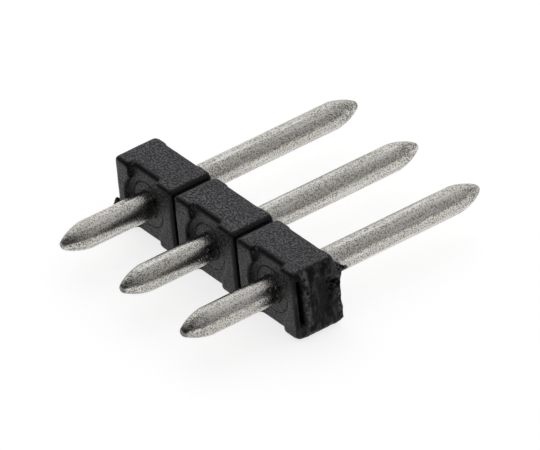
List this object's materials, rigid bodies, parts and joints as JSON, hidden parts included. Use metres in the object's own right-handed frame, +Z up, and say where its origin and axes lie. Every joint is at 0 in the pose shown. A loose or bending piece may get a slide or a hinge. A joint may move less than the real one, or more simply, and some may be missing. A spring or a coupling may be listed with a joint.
{
  "type": "pin header",
  "caption": "Break-off pin header: a moulded strip of notched blocks that holds a row of straight round pins, with short solder tails and longer mating ends.",
  "frame": {"origin": "on the axis of the middle pin, in the plane of the pads that sit on the board", "axes": "+X along the row, +Y along the pins towards the mating ends (solder tails towards -Y), +Z up across the strip as it lies on its side"},
  "size_m": [0.0105, 0.0126, 0.0026],
  "materials": {
    "black_plastic": "black moulded polyamide with a fine eroded grain",
    "tinned_metal": "tin plated, semi-bright"
  },
  "bodies": {
    "root": {"housing": "black_plastic", "pin_1": "tinned_metal", "pin_2": "tinned_metal", "pin_3": "tinned_metal"}
  },
  "joints": []
}
